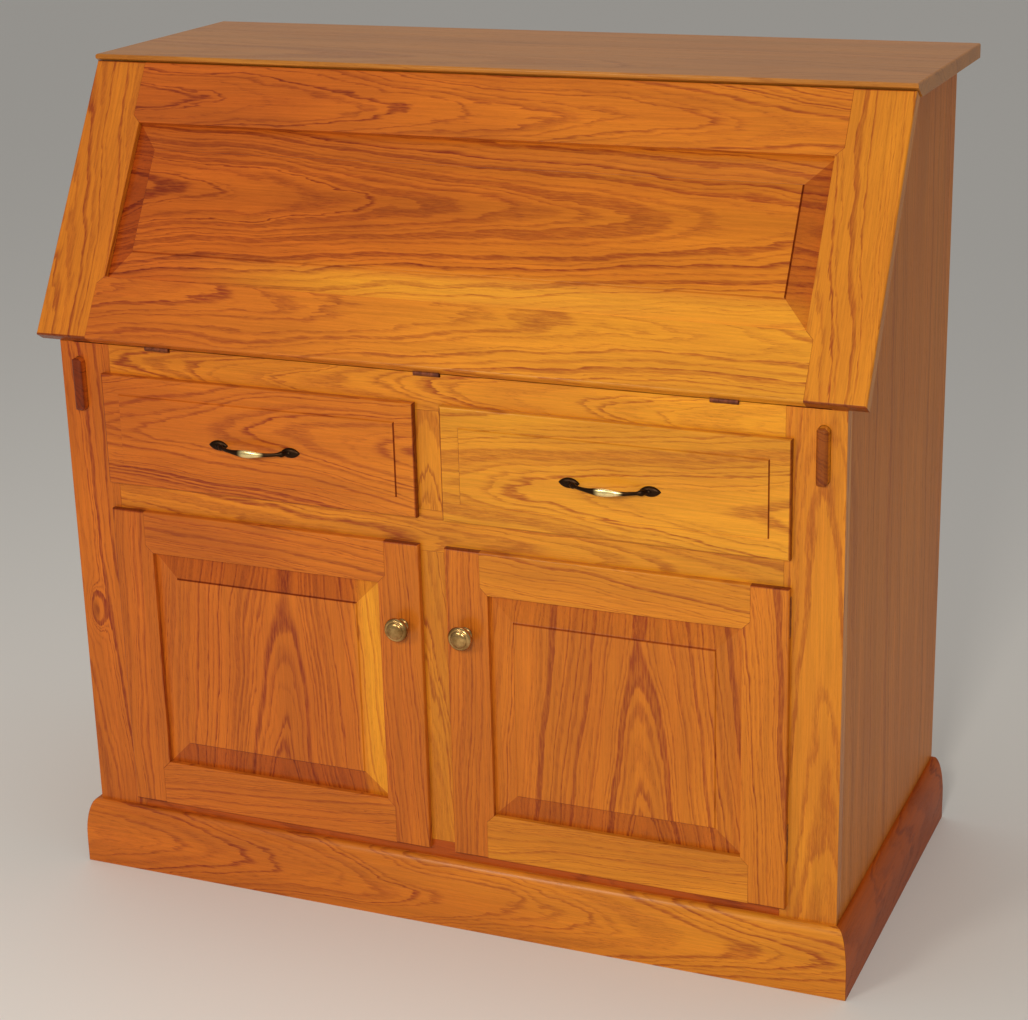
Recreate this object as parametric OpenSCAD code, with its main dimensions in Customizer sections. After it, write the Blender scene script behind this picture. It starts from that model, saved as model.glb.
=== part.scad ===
// Slant-front secretary desk: a fall-front writing lid over two drawers and a two-door cupboard.
// X runs to the right of a person who faces the desk, Y runs to the back and Z is up. The origin
// is on the floor, in the middle of the desk's outline. Modules draw in a case frame, in which
// Y = 0 is the front plane of the face frame, and placed() moves them to the origin.

/* [Case] */
// Width over the two side panels
case_w = 1040; // [1000:1:1100]
// Depth from the face frame's front to the back of the side panels
case_d = 508; // [480:1:540]
// Height to the top of the top board
total_h = 1082; // [1075:1:1090]
// Height of the writing surface
desk_h = 742; // [739:1:745]
// Lean of the shut lid from vertical
lid_lean = 31.5; // [31:0.5:32]
// Thickness of the case boards
board_t = 19; // [18:0.5:20]
// Thickness of the back panel
back_t = 6; // [4:1:8]
// How far the top board passes each side panel
top_side_over = 27; // [20:1:35]
// How far the top board passes the back of the side panels
top_back_over = 8; // [0:1:15]
// Height of the top board's upright front nose
top_nose_h = 5.5; // [5:0.5:8]
// Radius of the top board's eased upper edge
top_ease = 2.5; // [1:0.5:4]

/* [Face frame] */
// Thickness of the face frame
frame_t = 19; // [18:0.5:22]
// Width of each outer stile
stile_w = 72; // [70:1:76]
// Width of the two middle uprights
mullion_w = 54; // [50:1:60]
// Bottom edge of the door openings
door_open_z0 = 114.5; // [112:0.5:118]
// Top edge of the door openings
door_open_z1 = 513.5; // [505:0.5:516]
// Bottom edge of the drawer openings
drawer_open_z0 = 567.5; // [566:0.5:575]
// Top edge of the drawer openings
drawer_open_z1 = 695.5; // [690:0.5:697]

/* [Plinth] */
// Height of the plinth
plinth_h = 91; // [85:1:95]
// How far the plinth stands out from the case
plinth_t = 18; // [15:1:22]
// Height of the moulded edge at the plinth's top
plinth_cove_h = 55; // [40:1:60]

/* [Fronts] */
// How far the lip of a drawer or door laps over its opening
lip_over = 9.5; // [8:0.5:12]
// How far the lip stands out from the face frame
lip_proud = 9.5; // [8:0.5:11]
// Depth of a drawer or door inside its opening
front_inset = 9.5; // [8:0.5:12]
// Gap between a front and the edge of its opening
front_clear = 1.5; // [1:0.25:2]
// Gap between faces that slide or swing past each other
run_gap = 0.3; // [0.2:0.1:0.5]
// Radius of the lip's eased front edge
lip_ease = 2.5; // [1:0.5:4]
// Chamfer on the lip's back edge, which lets a door swing clear of the face frame
lip_back_ease = 0.8; // [0.5:0.1:1]
// Border round the raised field of a drawer front
drawer_border = 25; // [20:1:30]
// How far that field stands out from the lip
drawer_field = 2.5; // [1.5:0.5:4]

/* [Doors] */
// Width of a door stile
door_stile = 57; // [50:1:65]
// Height of a door's top rail
door_rail_top = 56; // [50:1:65]
// Height of a door's bottom rail
door_rail_bottom = 62; // [55:1:70]
// Width of the panel's bevel
door_bevel = 32; // [28:1:36]
// Travel of a door
door_swing = 105; // [90:1:105]

/* [Lid] */
// Length of the lid from its hinge line
lid_len = 378; // [374:0.5:379]
// How far the lid passes each side panel
lid_over = 25; // [20:1:27]
// Width of a lid stile
lid_stile = 83; // [75:1:90]
// Height of a lid rail
lid_rail = 83.5; // [75:0.5:90]
// Radius of the lid's eased outer edge
lid_ease = 3; // [1:0.5:5]
// Width of the lid panel's bevel at the two ends
lid_bevel_end = 30.5; // [28:0.5:34]
// Width of the lid panel's bevel along its long edges
lid_bevel_long = 35.5; // [30:0.5:38]

/* [Lopers] */
// Thickness of a loper, the bar that slides out to carry the open lid
loper_w = 15; // [14:0.5:18]
// Height of a loper
loper_h = 71; // [65:1:75]
// How far a shut loper stands out from the face frame
loper_proud = 11; // [6:0.5:14]
// Length of a loper
loper_len = 440; // [420:5:450]

/* [Drawers] */
// Length of a drawer's sides
drawer_len = 450; // [420:5:455]
// Thickness of a drawer's sides
drawer_wall = 12; // [10:1:14]
// Thickness of a drawer's bottom
drawer_bottom_t = 6; // [4:1:6]

/* [Hardware] */
// Distance between the two feet of a drawer pull
pull_span = 100; // [90:1:110]
// How far a pull stands out from the drawer
pull_reach = 25; // [22:1:30]
// Diameter of a door knob
knob_d = 32; // [28:1:34]
// Length of a lid hinge
lid_hinge_l = 34; // [30:1:50]
// Radius of a lid hinge's knuckles
lid_knuckle_r = 3.5; // [3:0.25:3.5]

/* [Gallery] */
// Distance from the face frame's front to the front of the pigeonholes
gallery_y = 300; // [260:5:330]
// Height of the lower row, above the writing surface
gallery_low_h = 94; // [80:1:110]
// Height of the upper row of pigeonholes
gallery_high_h = 95; // [80:1:120]
// Thickness of the gallery boards
gallery_t = 10; // [8:1:12]

/* [Hidden] */
$fn = 48;
EPS = 0.01;
OAK = "#cf8a3c";
OAK_DARK = "#a8693a";
OAK_PALE = "#dcae6c";
BRASS = "#c9a55a";
BRONZE = "#4a3c2c";
STEEL = "#b8bcc0";

half_w = case_w / 2;
inner_x = half_w - board_t;
back_y = case_d - back_t;
field_y = -lip_proud - drawer_field;
front_y = field_y - pull_reach;
rear_y = case_d + top_back_over;
shift_y = -(front_y + rear_y) / 2;

open_x0 = mullion_w / 2;
open_x1 = half_w - stile_w;
open_w = open_x1 - open_x0;
leaf_w = open_w + 2 * lip_over;
leaf_x = open_x0 - lip_over;
door_h = door_open_z1 - door_open_z0 + 2 * lip_over;
door_z = door_open_z0 - lip_over;
drawer_h = drawer_open_z1 - drawer_open_z0 + 2 * lip_over;
drawer_z = drawer_open_z0 - lip_over;

// The lid turns about a line 1 mm in front of the face frame, level with the writing surface.
hinge_y = -1;
lid_start = 1;
lid_half = half_w + lid_over;
lid_h = lid_len - lid_start;
lid_knuckle_gap = 0.5;
lid_hinge_x = [-375, 0, 375];
hinge_leaf_w = 17.5;
hinge_leaf_t = 2;
pin_r = 1.3;
pin_clear = 0.05;

// The side panels' slope starts at the face frame's front. The top board's nose stands just
// past the end of the shut lid.
top_z0 = total_h - board_t;
slope_run = (top_z0 - desk_h) * tan(lid_lean);
lid_end_gap = 1.2;
function past_lid_y(z) =
    hinge_y + (lid_len + lid_end_gap - (z - desk_h) * cos(lid_lean)) / sin(lid_lean);
top_front_y = past_lid_y(total_h - top_nose_h);
top_bevel_y = past_lid_y(top_z0);

bed_z0 = desk_h - board_t;
rail_bottom_h = 54;
dust_t = 12;
dust_z1 = drawer_open_z0 - 7.5;
shelf_z = 300;
shelf_t = 18;
pin_hole_r = 2.6;
shelf_pin_r = 2.5;
shelf_pin_y = [70, 450];
bearer_w = 20;
middle_guide_h = 40;
side_guide_h = 60;

loper_top = bed_z0 - run_gap;
loper_x = inner_x - 0.7 - loper_w / 2;
slot_clear = 0.4;
guide_t = 12;
guide_foot_h = 18;
guide_x0 = loper_x - loper_w / 2 - 0.7 - guide_t;

stick_w = 10;
stick_h = 6;
groove_d = 7;
tongue_d = 6.5;
tongue_t = 5;
tongue_clear = 0.2;
panel_step_w = 1.4;

// A door's hinge pins stand inside the thickness of its lip, so its knuckles show only from the
// side, in two short notches.
door_axis_x = open_x1 + lip_over - 1.7;
door_axis_y = -4.5;
door_knuckle_r = 1.8;
door_pin_r = 0.8;
door_web = 0.6;
door_notch = door_knuckle_r + 0.3;
door_hinge_l = 50;
door_hinge_z = [door_z + 62, door_z + door_h - 62];
door_leaf_t = 1.2;
knob_x = leaf_x + 26;
knob_z = 413;
catch_z = door_open_z1 - 40;

drawer_x0 = open_x0 + 3;
drawer_x1 = open_x1 - 3;
drawer_z0 = drawer_open_z0 + 0.5;
drawer_z1 = drawer_open_z1 - 6;
bottom_z = drawer_z0 + 7;

pull_x = leaf_x + leaf_w / 2;
pull_z = drawer_z + drawer_h / 2 - 5;

gallery_mid_z = desk_h + gallery_low_h;
gallery_top_z = gallery_mid_z + gallery_t + gallery_high_h;
gallery_bay = inner_x / 3;
gallery_gap = 1;
gallery_wall = 8;

// ---- Helpers ----------------------------------------------------------------------------

// Moves a piece from the case frame to the row's frame; side -1 makes it for the left.
module placed(side = 1) {
    translate([0, shift_y, 0])
        mirror([side < 0 ? 1 : 0, 0, 0]) children();
}

// A box between two corners.
module box(low, high) {
    translate(low) cube(high - low);
}

// A bar along X whose section is a list of [y, z] points.
module bar_x(length, points) {
    rotate([90, 0, 90]) linear_extrude(length) polygon(points);
}

// A bar along Y whose section is a list of [x, z] points.
module bar_y(length, points) {
    translate([0, length, 0]) rotate([90, 0, 0]) linear_extrude(length) polygon(points);
}

// A section of width w, the same at both ends: edge lists [distance in, height] points.
function section(w, edge) = concat(
    edge,
    [for (i = [len(edge) - 1 : -1 : 0]) [w - edge[i][0], edge[i][1]]]
);

// A slab with one edge profile on all four sides, mitred at its corners.
module profiled_slab(w, h, edge_ends, edge_long) {
    intersection() {
        bar_y(h, section(w, edge_ends));
        bar_x(w, section(h, edge_long));
    }
}

// Points of a quarter of an ellipse about a centre.
function quarter(cx, cy, rx, ry, from, to, steps = 8) =
    [for (i = [0 : steps]) let (a = from + (to - from) * i / steps)
        [cx + rx * cos(a), cy + ry * sin(a)]];

// The moulded inner edge of a frame whose face is at height face_z.
function sticking(back_z, face_z) = concat(
    [[0, back_z - 1]],
    quarter(-stick_w, face_z - 1 - stick_h, stick_w, stick_h, 0, 90),
    [[-stick_w, face_z + 1]]
);

// The part of a frame that one stile takes: its full height, with mitred moulding.
module stile_region(h, stile, bottom, top) {
    plain = stile - stick_w;
    reach = stick_w + 2;
    translate([0, 0, -50]) linear_extrude(100) polygon([
        [-1, -1], [plain, -1], [plain, bottom - stick_w],
        [plain + reach, bottom - stick_w + reach], [plain + reach, h - top + stick_w - reach],
        [plain, h - top + stick_w], [plain, h + 1], [-1, h + 1]
    ]);
}

// The part of a frame that its bottom rail takes, between the stiles.
module rail_region(w, stile, bottom) {
    plain = bottom - stick_w;
    reach = stick_w + 2;
    x0 = stile - stick_w;
    translate([0, 0, -50]) linear_extrude(100) polygon([
        [x0, -1], [w - x0, -1], [w - x0, plain],
        [w - x0 - reach, plain + reach], [x0 + reach, plain + reach], [x0, plain]
    ]);
}

// A machine screw that holds a pull or knob from behind: a shank and a pan head along Y.
module through_screw(x, z, from_y, to_y) {
    translate([x, to_y, z]) rotate([90, 0, 0]) cylinder(r = 2, h = to_y - from_y);
    translate([x, to_y + 3, z]) rotate([90, 0, 0]) cylinder(r = 4.5, h = 3);
}

// ---- Case -------------------------------------------------------------------------------

// A side panel, with holes for the shelf pins.
module side_panel() {
    difference() {
        translate([inner_x, 0, 0]) bar_x(board_t, [
            [frame_t, 0], [case_d, 0], [case_d, top_z0], [slope_run, top_z0],
            [0, desk_h], [frame_t, desk_h]
        ]);
        for (y = shelf_pin_y)
            translate([inner_x - EPS, y, shelf_z - shelf_pin_r]) rotate([0, 90, 0])
                cylinder(r = pin_hole_r, h = 10);
    }
}

module side_left() color(OAK) placed(-1) side_panel();
module side_right() color(OAK_DARK) placed() side_panel();

// The top board: its front nose is bevelled below, square to the shut lid.
module top_board() {
    over = half_w + top_side_over;
    ends = concat(
        [[1, top_z0], [0, top_z0 + 1]],
        quarter(top_ease, total_h - top_ease, top_ease, top_ease, 180, 90, 4)
    );
    color(OAK_DARK) placed() translate([-over, 0, 0]) intersection() {
        bar_x(2 * over, concat(
            quarter(top_front_y + top_ease, total_h - top_ease, top_ease, top_ease, 90, 180, 4),
            [
                [top_front_y, total_h - top_nose_h], [top_bevel_y, top_z0],
                [rear_y, top_z0], [rear_y, total_h]
            ]
        ));
        bar_y(rear_y + 1, section(2 * over, ends));
    }
}

module back_panel() {
    color(OAK_PALE) placed()
        box([-inner_x, back_y, door_open_z0 - board_t], [inner_x, case_d, top_z0]);
}

module writing_bed() {
    color(OAK) placed() box([-inner_x, frame_t, bed_z0], [inner_x, back_y, desk_h]);
}

module dust_panel() {
    color(OAK_PALE) placed()
        box([-inner_x, frame_t, dust_z1 - dust_t], [inner_x, back_y, dust_z1]);
}

module cabinet_floor() {
    color(OAK_PALE) placed()
        box([-inner_x, frame_t, door_open_z0 - board_t], [inner_x, back_y, door_open_z0]);
}

// The upright board between the two cupboards, with holes for the shelf pins.
module cupboard_divider() {
    color(OAK_PALE) placed() difference() {
        box([-board_t / 2, frame_t, door_open_z0], [board_t / 2, back_y, dust_z1 - dust_t]);
        for (side = [-1, 1], y = shelf_pin_y)
            translate([side * (board_t / 2 + EPS), y, shelf_z - shelf_pin_r])
                rotate([0, -90 * side, 0]) cylinder(r = pin_hole_r, h = 8);
    }
}

module cupboard_shelves() {
    color(OAK_PALE) for (side = [-1, 1]) placed(side)
        box([board_t / 2 + 1, frame_t + 25, shelf_z], [inner_x - 1, back_y - 2, shelf_z + shelf_t]);
}

module shelf_pins() {
    color(STEEL) for (side = [-1, 1]) placed(side) for (y = shelf_pin_y) {
        translate([inner_x - 10, y, shelf_z - shelf_pin_r])
            rotate([0, 90, 0]) cylinder(r = shelf_pin_r, h = 19);
        translate([board_t / 2 - 7, y, shelf_z - shelf_pin_r])
            rotate([0, 90, 0]) cylinder(r = shelf_pin_r, h = 17);
    }
}

// ---- Face frame -------------------------------------------------------------------------

// The loper's section, with square sides and round top and bottom, as a bar along Y.
module loper_bar(from_y, to_y, grow) {
    r = loper_w / 2;
    translate([loper_x, to_y, loper_top - loper_h / 2]) rotate([90, 0, 0])
        linear_extrude(to_y - from_y) {
            square([loper_w + 2 * grow, loper_h - loper_w], center = true);
            for (end = [-1, 1]) translate([0, end * (loper_h / 2 - r)]) circle(r + grow);
        }
}

// An outer stile, slotted for the loper and let in for the two door hinges.
module outer_stile() {
    difference() {
        box([open_x1, 0, 0], [half_w, frame_t, desk_h]);
        loper_bar(-1, frame_t + 1, slot_clear);
        for (z = door_hinge_z) translate([0, 0, z]) frame_leaf_plate();
    }
}

module stile_left() color(OAK) placed(-1) outer_stile();
module stile_right() color(OAK) placed() outer_stile();

// The rail under the lid, let in for the lid's hinges.
module rail_top() {
    color(OAK) placed() difference() {
        box([-open_x1, 0, drawer_open_z1], [open_x1, frame_t, desk_h]);
        for (x = lid_hinge_x) translate([x, hinge_y, desk_h]) {
            lid_hinge_barrel(lid_knuckle_r + lid_knuckle_gap, lid_hinge_l + 1);
            box([-lid_hinge_l / 2, 0, -hinge_leaf_t], [lid_hinge_l / 2, hinge_leaf_w, 1]);
        }
    }
}

module rail_middle() {
    color(OAK) placed()
        box([-open_x1, 0, door_open_z1], [open_x1, frame_t, drawer_open_z0]);
}

module rail_bottom() {
    color(OAK) placed() box([-open_x1, 0, door_open_z0 - rail_bottom_h], [open_x1, frame_t, door_open_z0]);
}

module mullion_upper() {
    color(OAK) placed()
        box([-open_x0, 0, drawer_open_z0], [open_x0, frame_t, drawer_open_z1]);
}

module mullion_lower() {
    color(OAK) placed() box([-open_x0, 0, door_open_z0], [open_x0, frame_t, door_open_z1]);
}

// ---- Plinth -----------------------------------------------------------------------------

// The plinth's section as [distance out, height], with a long rounded edge at its top.
function plinth_section() = concat(
    [[0, 0], [plinth_t, 0]],
    quarter(4, plinth_h - plinth_cove_h, plinth_t - 4, plinth_cove_h, 0, 90, 12),
    [[0, plinth_h]]
);

// Removes what lies beyond a 45-degree plane through the Z axis.
module mitre_cut(turn) {
    rotate([0, 0, turn]) translate([0, -100, -1]) cube([200, 200, plinth_h + 2]);
}

module plinth_front() {
    color(OAK) placed() difference() {
        translate([-half_w - plinth_t, 0, 0])
            bar_x(case_w + 2 * plinth_t, [for (p = plinth_section()) [-p[0], p[1]]]);
        translate([half_w, 0, 0]) mitre_cut(45);
        translate([-half_w, 0, 0]) mitre_cut(135);
    }
}

module plinth_side() {
    difference() {
        translate([half_w, -plinth_t, 0]) bar_y(case_d + plinth_t, plinth_section());
        translate([half_w, 0, 0]) mitre_cut(225);
    }
}

module plinth_left() color(OAK) placed(-1) plinth_side();
module plinth_right() color(OAK_DARK) placed() plinth_side();

// ---- Inside the case --------------------------------------------------------------------

// Bearers under the drawers' sides, a guide between the drawers and one at each outer side.
module drawer_runners() {
    color(OAK_PALE) {
        placed() box([1 - open_x0, frame_t, dust_z1],
            [open_x0 - 1, back_y, dust_z1 + middle_guide_h]);
        for (side = [-1, 1]) placed(side) {
            for (x = [open_x0, open_x1 - bearer_w])
                box([x, frame_t, dust_z1], [x + bearer_w, back_y, drawer_open_z0]);
            box([open_x1 + 0.5, frame_t, dust_z1],
                [guide_x0 - 1, back_y, dust_z1 + side_guide_h]);
        }
    }
}

// An L-shaped housing that carries a loper against the side panel.
module loper_guide() {
    z1 = loper_top - loper_h - slot_clear;
    z0 = z1 - guide_foot_h;
    box([guide_x0, frame_t, z0], [guide_x0 + guide_t, back_y, bed_z0]);
    box([guide_x0, frame_t, z0], [inner_x, back_y, z1]);
}

module loper_guide_left() color(OAK_PALE) placed(-1) loper_guide();
module loper_guide_right() color(OAK_PALE) placed() loper_guide();

module gallery_shelves() {
    color(OAK_PALE) placed() {
        box([-inner_x, gallery_y, gallery_mid_z],
            [inner_x, back_y, gallery_mid_z + gallery_t]);
        box([-inner_x, gallery_y, gallery_top_z],
            [inner_x, back_y, gallery_top_z + gallery_t]);
    }
}

// Two dividers in the lower row and five in the upper one.
module gallery_dividers() {
    t = gallery_wall / 2;
    color(OAK_PALE) placed() {
        for (i = [-1, 1])
            translate([i * gallery_bay, 0, 0])
                box([-t, gallery_y, desk_h], [t, back_y, gallery_mid_z]);
        for (i = [-2 : 2])
            translate([i * gallery_bay, 0, 0])
                box([-t, gallery_y, gallery_mid_z + gallery_t], [t, back_y, gallery_top_z]);
    }
}

// ---- Lopers -----------------------------------------------------------------------------

// The bar that carries the open lid; its nose is rounded over all the way round.
module loper() {
    nose = 6;
    z0 = loper_top - loper_h;
    x0 = loper_x - loper_w / 2;
    x1 = loper_x + loper_w / 2;
    intersection() {
        loper_bar(-loper_proud, loper_len - loper_proud, 0);
        translate([loper_x - loper_w, 0, 0]) bar_x(2 * loper_w, concat(
            quarter(nose - loper_proud, z0 + nose, nose, nose, 270, 180),
            quarter(nose - loper_proud, loper_top - nose, nose, nose, 180, 90),
            [[loper_len, loper_top], [loper_len, z0]]
        ));
        translate([0, 0, z0 - 1]) linear_extrude(loper_h + 2) polygon(concat(
            quarter(x0 + nose, nose - loper_proud, nose, nose, 180, 270),
            quarter(x1 - nose, nose - loper_proud, nose, nose, 270, 360),
            [[x1, loper_len], [x0, loper_len]]
        ));
    }
}

module loper_left() color(OAK_DARK) placed(-1) loper();
module loper_right() color(OAK) placed() loper();

// ---- Lid hinges -------------------------------------------------------------------------

// Three butt hinges. Each is drawn about its pin: the case leaf lies along +Y and the lid leaf
// along the slope, and both lie below their own flush faces.
module lid_hinge_barrel(r, length) {
    translate([-length / 2, 0, 0]) rotate([0, 90, 0]) cylinder(r = r, h = length);
}

// The leaf let into the rail, with the two outer knuckles and the pin.
module case_leaf() {
    third = lid_hinge_l / 3;
    lid_hinge_barrel(pin_r, lid_hinge_l);
    box([-lid_hinge_l / 2, lid_knuckle_r + lid_knuckle_gap, -hinge_leaf_t],
        [lid_hinge_l / 2, hinge_leaf_w, 0]);
    for (side = [-1, 1]) {
        x = side * third;
        translate([x, 0, 0]) lid_hinge_barrel(lid_knuckle_r, third - run_gap);
        box([x - third / 2 + run_gap / 2, 0, -hinge_leaf_t],
            [x + third / 2 - run_gap / 2, lid_knuckle_r + 1, 0]);
    }
}

// The leaf let into the lid, with the middle knuckle bored for the pin.
module lid_leaf() {
    third = lid_hinge_l / 3;
    difference() {
        union() {
            box([-lid_hinge_l / 2, lid_knuckle_r + lid_knuckle_gap, 0],
                [lid_hinge_l / 2, hinge_leaf_w, hinge_leaf_t]);
            lid_hinge_barrel(lid_knuckle_r, third - run_gap);
            box([-third / 2 + run_gap / 2, 0, 0],
                [third / 2 - run_gap / 2, lid_knuckle_r + 1, hinge_leaf_t]);
        }
        lid_hinge_barrel(pin_r + pin_clear, lid_hinge_l + 2);
    }
}

module lid_hinge_case_leaves() {
    color(BRASS) placed() for (x = lid_hinge_x)
        translate([x, hinge_y, desk_h]) case_leaf();
}

// ---- Lid --------------------------------------------------------------------------------

// Lid pieces are drawn flat: X across, Y up the slope from the hinge line, Z out of the face.
module on_slope() {
    color(OAK) placed() translate([0, hinge_y, desk_h])
        rotate([90 - lid_lean, 0, 0]) translate([-lid_half, lid_start, 0]) children();
}

// The lid's frame before it is parted into stiles and rails.
module lid_frame() {
    inner_w = 2 * (lid_half - lid_stile);
    inner_h = lid_h - 2 * lid_rail;
    groove_z = board_t / 2 - 1;
    edge = concat(
        [[1, 0], [0, 1]],
        quarter(lid_ease, board_t - lid_ease, lid_ease, lid_ease, 180, 90, 4)
    );
    difference() {
        profiled_slab(2 * lid_half, lid_h, edge, edge);
        translate([lid_stile, lid_rail, 0])
            profiled_slab(inner_w, inner_h, sticking(0, board_t), sticking(0, board_t));
        translate([lid_stile - groove_d, lid_rail - groove_d,
            groove_z - tongue_t / 2 - tongue_clear])
            cube([inner_w + 2 * groove_d, inner_h + 2 * groove_d, tongue_t + 2 * tongue_clear]);
    }
}

module lid_stile() {
    intersection() {
        lid_frame();
        stile_region(lid_h, lid_stile, lid_rail, lid_rail);
    }
}

module lid_stile_left() on_slope() lid_stile();
module lid_stile_right() on_slope() translate([2 * lid_half, 0, 0]) mirror([1, 0, 0]) lid_stile();

module lid_rail_bottom() {
    on_slope() difference() {
        intersection() {
            lid_frame();
            rail_region(2 * lid_half, lid_stile, lid_rail);
        }
        for (x = lid_hinge_x) translate([lid_half + x, -lid_start, 0]) {
            lid_hinge_barrel(lid_knuckle_r + lid_knuckle_gap, lid_hinge_l + 1);
            box([-lid_hinge_l / 2, 0, -1], [lid_hinge_l / 2, hinge_leaf_w, hinge_leaf_t]);
        }
    }
}

module lid_rail_top() {
    on_slope() intersection() {
        lid_frame();
        translate([0, lid_h, 0]) mirror([0, 1, 0]) rail_region(2 * lid_half, lid_stile, lid_rail);
    }
}

// The lid's raised panel: its back is flush with the writing side of the frame.
module lid_panel() {
    w = 2 * (lid_half - lid_stile + tongue_d);
    h = lid_h - 2 * (lid_rail - tongue_d);
    z0 = board_t / 2 - 1 - tongue_t / 2;
    z1 = z0 + tongue_t;
    in = tongue_d + 0.5;
    function edge(bevel) = [
        [in, 0], [in, z0], [0, z0], [0, z1], [tongue_d, z1],
        [tongue_d + bevel, board_t - 3], [tongue_d + bevel + panel_step_w, board_t - 0.3]
    ];
    on_slope() translate([lid_stile - tongue_d, lid_rail - tongue_d, 0])
        profiled_slab(w, h, edge(lid_bevel_end), edge(lid_bevel_long));
}

module lid_hinge_leaves() {
    color(BRASS) placed() translate([0, hinge_y, desk_h]) rotate([90 - lid_lean, 0, 0])
        for (x = lid_hinge_x) translate([x, 0, 0]) lid_leaf();
}

// ---- Lipped fronts ----------------------------------------------------------------------

// Fronts are drawn flat and stood up: X across, Y up, Z towards the person, 0 at the face frame.
module upright(x, z) {
    translate([x, 0, z]) rotate([90, 0, 0]) children();
}

// The rebated back and the lip of a drawer front or door.
function lip_edge() = concat(
    [
        [lip_over + front_clear, -front_inset], [lip_over + front_clear, run_gap],
        [lip_back_ease, run_gap], [0, run_gap + lip_back_ease]
    ],
    quarter(lip_ease, lip_proud - lip_ease, lip_ease, lip_ease, 180, 90, 4)
);

// ---- Doors ------------------------------------------------------------------------------

// A door's frame before it is parted into stiles and rails.
module door_frame() {
    inner_w = leaf_w - 2 * door_stile;
    inner_h = door_h - door_rail_top - door_rail_bottom;
    difference() {
        profiled_slab(leaf_w, door_h, lip_edge(), lip_edge());
        translate([door_stile, door_rail_bottom, 0])
            profiled_slab(inner_w, inner_h, sticking(-front_inset, lip_proud),
                sticking(-front_inset, lip_proud));
        translate([door_stile - groove_d, door_rail_bottom - groove_d,
            -tongue_t / 2 - tongue_clear])
            cube([inner_w + 2 * groove_d, inner_h + 2 * groove_d, tongue_t + 2 * tongue_clear]);
    }
}

// Both stiles, let in for the hinge leaves and the strike, and bored for the knob's screw.
module door_stiles() {
    difference() {
        upright(leaf_x, door_z) intersection() {
            door_frame();
            union() {
                stile_region(door_h, door_stile, door_rail_bottom, door_rail_top);
                translate([leaf_w, 0, 0]) mirror([1, 0, 0])
                    stile_region(door_h, door_stile, door_rail_bottom, door_rail_top);
            }
        }
        for (z = door_hinge_z) translate([0, 0, z]) {
            door_leaf_plate();
            box([door_axis_x - door_notch, door_axis_y - door_notch, -0.5],
                [half_w, 1, door_hinge_l + 0.5]);
        }
        door_strike();
        translate([knob_x, front_inset + 1, knob_z]) rotate([90, 0, 0])
            cylinder(r = 2.1, h = board_t + 2);
    }
}

module door_rails() {
    upright(leaf_x, door_z) intersection() {
        door_frame();
        union() {
            rail_region(leaf_w, door_stile, door_rail_bottom);
            translate([0, door_h, 0]) mirror([0, 1, 0])
                rail_region(leaf_w, door_stile, door_rail_top);
        }
    }
}

module door_panel() {
    w = leaf_w - 2 * (door_stile - tongue_d);
    h = door_h - door_rail_top - door_rail_bottom + 2 * tongue_d;
    half = tongue_t / 2;
    edge = [
        [0, -half], [0, half], [tongue_d, half],
        [tongue_d + door_bevel, lip_proud - 3],
        [tongue_d + door_bevel + panel_step_w, lip_proud - 0.5]
    ];
    upright(leaf_x, door_z) translate([door_stile - tongue_d, door_rail_bottom - tongue_d, 0])
        profiled_slab(w, h, edge, edge);
}

// A turned mushroom knob with a screw through the stile.
module door_knob() {
    r = knob_d / 2;
    translate([knob_x, -lip_proud, knob_z]) rotate([90, 0, 0]) rotate_extrude() polygon(concat(
        [[0, 0], [9, 0], [9, 1.5], [6.5, 3]],
        quarter(14.5, 9, 8.5, 6, 180, 90, 6),
        [[r - 0.5, 16.5], [r, 18]],
        [[r - 0.6, 20], [r - 3, 22], [r - 3.6, 21.6]],
        quarter(0, 21.4, r - 4.2, 3.2, 0, 90, 8)
    ));
    through_screw(knob_x, knob_z, -lip_proud, front_inset);
}

// The frame leaf of a door hinge, seen from above: let into the stile's face and edge.
module frame_leaf_plate() {
    x0 = open_x1;
    linear_extrude(door_hinge_l) polygon([
        [x0 - EPS, -EPS], [door_axis_x + 2, -EPS], [door_axis_x + 2, door_leaf_t],
        [x0 + door_leaf_t, door_leaf_t], [x0 + door_leaf_t, frame_t - 2], [x0 - EPS, frame_t - 2]
    ]);
}

// The door leaf: let into the back of the lip, the rebate's edge and the back of the stile.
module door_leaf_plate() {
    edge_x = open_x1 - front_clear;
    linear_extrude(door_hinge_l) polygon([
        [door_axis_x - door_web, door_axis_y], [door_axis_x - door_web, -run_gap],
        [edge_x, -run_gap], [edge_x, front_inset], [edge_x - 30, front_inset],
        [edge_x - 30, front_inset - door_leaf_t], [edge_x - door_leaf_t, front_inset - door_leaf_t],
        [edge_x - door_leaf_t, -run_gap - door_leaf_t],
        [door_axis_x - door_knuckle_r, -run_gap - door_leaf_t],
        [door_axis_x - door_knuckle_r, door_axis_y]
    ]);
}

// One third of a door hinge's height: 0 and 2 are the frame's knuckles and 1 is the door's.
module at_third(i) {
    third = door_hinge_l / 3;
    translate([0, 0, i * third + run_gap / 2]) children();
}

module door_hinge_frame_side() {
    h = door_hinge_l / 3 - run_gap;
    for (z = door_hinge_z) translate([0, 0, z]) {
        frame_leaf_plate();
        translate([door_axis_x, door_axis_y, 0]) cylinder(r = door_pin_r, h = door_hinge_l);
        for (i = [0, 2]) at_third(i) {
            translate([door_axis_x, door_axis_y, 0]) cylinder(r = door_knuckle_r, h = h);
            box([door_axis_x - door_web, door_axis_y, 0], [door_axis_x + door_web, 0.5, h]);
        }
    }
}

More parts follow.
